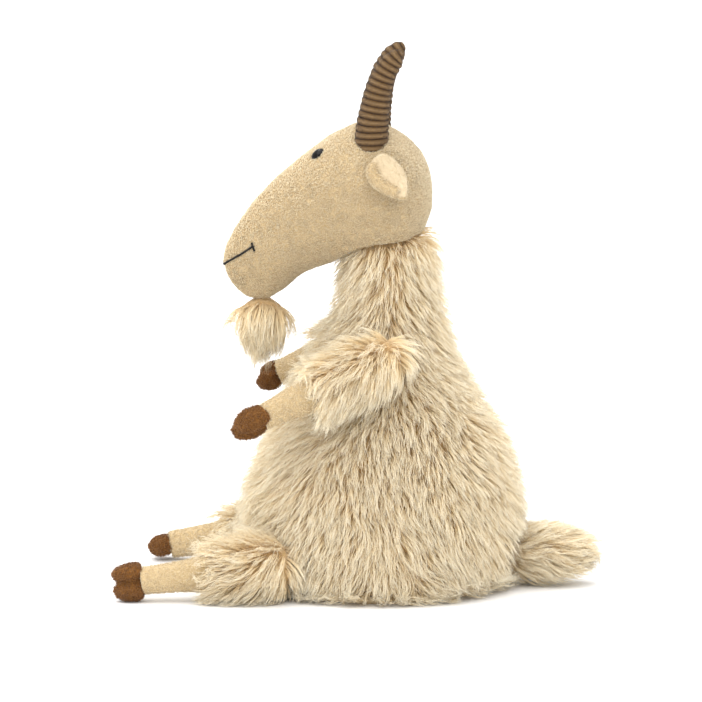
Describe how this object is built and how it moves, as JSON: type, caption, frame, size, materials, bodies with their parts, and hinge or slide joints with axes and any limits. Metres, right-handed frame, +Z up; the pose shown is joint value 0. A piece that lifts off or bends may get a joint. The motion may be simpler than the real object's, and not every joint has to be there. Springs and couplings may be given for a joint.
{
  "type": "plush goat",
  "caption": "Seated plush goat with long-pile body, short-pile head, corduroy horns, leaf ears, fur beard and tail, sewn limbs with two-toed hooves and a flat beaned seat.",
  "frame": {"origin": "middle of the bounding box, on the surface that the goat sits on", "axes": "+Z up along the height, the goat faces -Y, its left side is +X"},
  "size_m": [0.1355, 0.2543, 0.2948],
  "materials": {
    "long_pile_fur": "long cream faux fur, wavy clumped pile, warm tan towards the backing",
    "short_pile_plush": "short cream pile plush with a fine nap",
    "hoof_plush": "short brown pile plush",
    "horn_corduroy": "wide-wale brown corduroy, wales running round the horn",
    "ear_velour": "smooth pale velour",
    "ear_lining": "short cream pile plush",
    "base_cloth": "plain cream knitted cloth",
    "bean_bag_cloth": "plain woven cotton bag filled with plastic beans",
    "fibre_stuffing": "white polyester fibre",
    "eye_gloss_black": "polished black",
    "lock_washer": "moulded white plastic",
    "mouth_thread": "black embroidery thread"
  },
  "bodies": {
    "torso": {"torso_left_panel": "long_pile_fur", "torso_right_panel": "long_pile_fur", "base_panel": "base_cloth", "bean_bag": "bean_bag_cloth", "torso_stuffing": "fibre_stuffing"},
    "head": {"head_gusset": "short_pile_plush", "head_left_panel": "short_pile_plush", "head_right_panel": "short_pile_plush", "head_stuffing": "fibre_stuffing", "eye_left": "eye_gloss_black", "eye_right": "eye_gloss_black", "eye_washer_left": "lock_washer", "eye_washer_right": "lock_washer", "mouth_thread": "mouth_thread", "horn_left_cover": "horn_corduroy", "horn_right_cover": "horn_corduroy", "horn_left_stuffing": "fibre_stuffing", "horn_right_stuffing": "fibre_stuffing"},
    "left_ear": {"ear_left_outer": "ear_velour", "ear_left_lining": "ear_lining"},
    "right_ear": {"ear_right_outer": "ear_velour", "ear_right_lining": "ear_lining"},
    "beard": {"beard": "long_pile_fur"},
    "tail": {"tail_fur_cover": "long_pile_fur", "tail_stuffing": "fibre_stuffing"},
    "left_arm": {"left_arm_fur_sleeve": "long_pile_fur", "left_arm_forearm": "short_pile_plush", "left_arm_stuffing": "fibre_stuffing", "left_arm_hoof": "hoof_plush"},
    "left_leg": {"left_leg_fur_thigh": "long_pile_fur", "left_leg_shin": "short_pile_plush", "left_leg_stuffing": "fibre_stuffing", "left_leg_hoof": "hoof_plush"},
    "right_arm": {"right_arm_fur_sleeve": "long_pile_fur", "right_arm_forearm": "short_pile_plush", "right_arm_stuffing": "fibre_stuffing", "right_arm_hoof": "hoof_plush"},
    "right_leg": {"right_leg_fur_thigh": "long_pile_fur", "right_leg_shin": "short_pile_plush", "right_leg_stuffing": "fibre_stuffing", "right_leg_hoof": "hoof_plush"}
  },
  "joints": [
    {"name": "neck_nod", "type": "hinge", "parent": "torso", "child": "head", "pos_m": [0, 0.0192, 0.1701], "axis": [1, 0, 0], "range_deg": [-15, 12], "stiffness_Nm_per_rad": 0.5},
    {"name": "beard_swing", "type": "hinge", "parent": "head", "child": "beard", "pos_m": [0, -0.05, 0.15], "axis": [-1, 0, 0], "range_deg": [-30, 40]},
    {"name": "left_arm_swing", "type": "hinge", "parent": "torso", "child": "left_arm", "pos_m": [0.0462, 0.018, 0.1328], "axis": [0.9397, 0, 0.342], "range_deg": [-50, 45], "stiffness_Nm_per_rad": 0.06},
    {"name": "right_arm_swing", "type": "hinge", "parent": "torso", "child": "right_arm", "pos_m": [-0.0462, 0.018, 0.1328], "axis": [0.9397, 0, -0.342], "range_deg": [-50, 45], "stiffness_Nm_per_rad": 0.06},
    {"name": "left_leg_lift", "type": "hinge", "parent": "torso", "child": "left_leg", "pos_m": [0.048, -0.042, 0.0195], "axis": [-1, 0, 0], "range_deg": [0, 35], "stiffness_Nm_per_rad": 0.03},
    {"name": "right_leg_lift", "type": "hinge", "parent": "torso", "child": "right_leg", "pos_m": [-0.051, -0.04, 0.019], "axis": [-1, 0, 0], "range_deg": [0, 35], "stiffness_Nm_per_rad": 0.03},
    {"name": "tail_swing", "type": "hinge", "parent": "torso", "child": "tail", "pos_m": [0, 0.0885, 0.019], "axis": [1, 0, 0], "range_deg": [-5, 28], "stiffness_Nm_per_rad": 0.03},
    {"name": "left_ear_flap", "type": "hinge", "parent": "head", "child": "left_ear", "pos_m": [0.028, 0.014, 0.2405], "axis": [0.3199, -0.8828, -0.3439], "range_deg": [-6, 45], "stiffness_Nm_per_rad": 0.006},
    {"name": "right_ear_flap", "type": "hinge", "parent": "head", "child": "right_ear", "pos_m": [-0.028, 0.014, 0.2405], "axis": [0.3199, 0.8828, 0.3439], "range_deg": [-6, 45], "stiffness_Nm_per_rad": 0.006}
  ]
}
